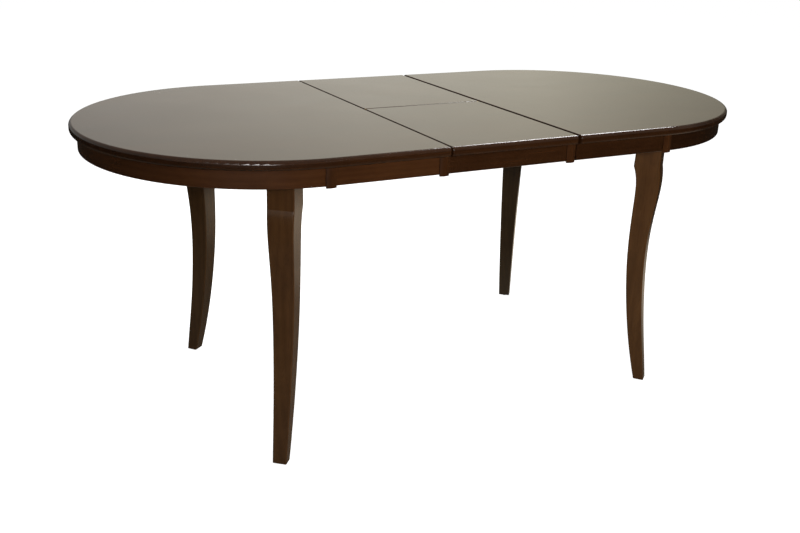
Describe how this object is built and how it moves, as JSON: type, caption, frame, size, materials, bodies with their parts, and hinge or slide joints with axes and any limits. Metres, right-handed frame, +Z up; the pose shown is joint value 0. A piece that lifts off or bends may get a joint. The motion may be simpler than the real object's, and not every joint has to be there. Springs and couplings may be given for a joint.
{
  "type": "extending dining table",
  "caption": "Oval extending dining table with sabre legs, geared wooden slides and a folding butterfly centre leaf with hinged aprons.",
  "frame": {"origin": "on the floor under the middle of the extended table", "axes": "+X along the length to the right end, +Y to the back, +Z up"},
  "size_m": [1.7964, 0.895, 0.75],
  "materials": {
    "lacquered_wood": "dark walnut stain under semi-gloss lacquer",
    "frame_wood": "plain sanded hardwood",
    "zinc_steel": "zinc plated",
    "brass": "satin",
    "nylon": "moulded",
    "felt": "felt"
  },
  "bodies": {
    "centre_frame": {"front_centre_rail": "frame_wood", "back_centre_rail": "frame_wood", "cross_bearers": "frame_wood", "bearer_screws": "zinc_steel", "pinion_axles": "zinc_steel", "pivot_brackets": "zinc_steel", "rest_pads": "felt"},
    "left_end": {"left_top": "lacquered_wood", "left_curved_apron": "lacquered_wood", "left_side_aprons": "lacquered_wood", "left_beads": "lacquered_wood", "left_inner_cross_rail": "frame_wood", "left_outer_cross_rail": "frame_wood", "left_front_leg": "lacquered_wood", "left_back_leg": "lacquered_wood", "left_leg_braces": "frame_wood", "left_hanger_bolts": "zinc_steel", "left_foot_glides": "nylon", "left_slide_rails": "frame_wood", "left_racks": "zinc_steel", "left_slide_screws": "zinc_steel", "left_pegs": "brass", "left_lock_cases": "zinc_steel"},
    "right_end": {"right_top": "lacquered_wood", "right_curved_apron": "lacquered_wood", "right_side_aprons": "lacquered_wood", "right_beads": "lacquered_wood", "right_inner_cross_rail": "frame_wood", "right_outer_cross_rail": "frame_wood", "right_front_leg": "lacquered_wood", "right_back_leg": "lacquered_wood", "right_leg_braces": "frame_wood", "right_hanger_bolts": "zinc_steel", "right_foot_glides": "nylon", "right_slide_rails": "frame_wood", "right_racks": "zinc_steel", "right_slide_screws": "zinc_steel", "right_pegs": "brass", "right_lock_cases": "zinc_steel"},
    "front_gear": {"front_pinion": "zinc_steel"},
    "back_gear": {"back_pinion": "zinc_steel"},
    "back_half": {"leaf_back": "lacquered_wood", "leaf_back_keepers": "zinc_steel", "back_fixed_hinges": "brass", "leaf_pivot_plates": "zinc_steel"},
    "seam_link_pair": {"seam_links": "brass"},
    "front_half": {"leaf_front": "lacquered_wood", "leaf_front_keepers": "zinc_steel", "front_link_pins": "zinc_steel", "front_fixed_hinges": "brass"},
    "front_flap": {"front_leaf_apron": "lacquered_wood", "front_leaf_bead": "lacquered_wood", "front_folding_hinges": "brass"},
    "back_flap": {"back_leaf_apron": "lacquered_wood", "back_leaf_bead": "lacquered_wood", "back_folding_hinges": "brass"},
    "left_front_lock": {"left_front_lock_bolt": "zinc_steel"},
    "left_back_lock": {"left_back_lock_bolt": "zinc_steel"},
    "right_front_lock": {"right_front_lock_bolt": "zinc_steel"},
    "right_back_lock": {"right_back_lock_bolt": "zinc_steel"}
  },
  "joints": [
    {"name": "right_end_slide", "type": "slide", "parent": "centre_frame", "child": "right_end", "axis": [1, 0, 0], "range_m": [-0.004, 0.06]},
    {"name": "left_end_slide", "type": "slide", "parent": "centre_frame", "child": "left_end", "axis": [-1, 0, 0], "range_m": [-0.004, 0.06]},
    {"name": "front_pinion_turn", "type": "hinge", "parent": "centre_frame", "child": "front_gear", "pos_m": [0, -0.263, 0.719], "axis": [0, 0, 1], "range_deg": [-16, 230]},
    {"name": "back_pinion_turn", "type": "hinge", "parent": "centre_frame", "child": "back_gear", "pos_m": [0, 0.263, 0.719], "axis": [0, 0, 1], "range_deg": [-230, 16]},
    {"name": "leaf_lift", "type": "hinge", "parent": "centre_frame", "child": "back_half", "pos_m": [0, 0.11188, 0.7165], "axis": [1, 0, 0], "range_deg": [0, 90]},
    {"name": "seam_link_turn", "type": "hinge", "parent": "back_half", "child": "seam_link_pair", "pos_m": [0, 0.0033, 0.747], "axis": [1, 0, 0], "range_deg": [-90, 0]},
    {"name": "front_half_fold", "type": "hinge", "parent": "back_half", "child": "front_half", "pos_m": [0, 0, 0.7503], "axis": [1, 0, 0], "range_deg": [-180, 0]},
    {"name": "front_apron_fold", "type": "hinge", "parent": "front_half", "child": "front_flap", "pos_m": [0, -0.408, 0.725], "axis": [1, 0, 0], "range_deg": [0, 90]},
    {"name": "back_apron_fold", "type": "hinge", "parent": "back_half", "child": "back_flap", "pos_m": [0, 0.408, 0.725], "axis": [-1, 0, 0], "range_deg": [0, 90]},
    {"name": "left_front_lock_slide", "type": "slide", "parent": "left_end", "child": "left_front_lock", "axis": [1, 0, 0], "range_m": [0, 0.026]},
    {"name": "left_back_lock_slide", "type": "slide", "parent": "left_end", "child": "left_back_lock", "axis": [1, 0, 0], "range_m": [0, 0.026]},
    {"name": "right_front_lock_slide", "type": "slide", "parent": "right_end", "child": "right_front_lock", "axis": [-1, 0, 0], "range_m": [0, 0.026]},
    {"name": "right_back_lock_slide", "type": "slide", "parent": "right_end", "child": "right_back_lock", "axis": [-1, 0, 0], "range_m": [0, 0.026]}
  ],
  "couplings": [
    {"joint": "left_end_slide", "follows": "right_end_slide", "ratio": 1},
    {"joint": "front_pinion_turn", "follows": "right_end_slide", "rad_per_m": 66.667},
    {"joint": "back_pinion_turn", "follows": "right_end_slide", "rad_per_m": -66.667},
    {"joint": "seam_link_turn", "follows": "leaf_lift", "ratio": -1},
    {"joint": "front_half_fold", "follows": "leaf_lift", "ratio": -2}
  ]
}
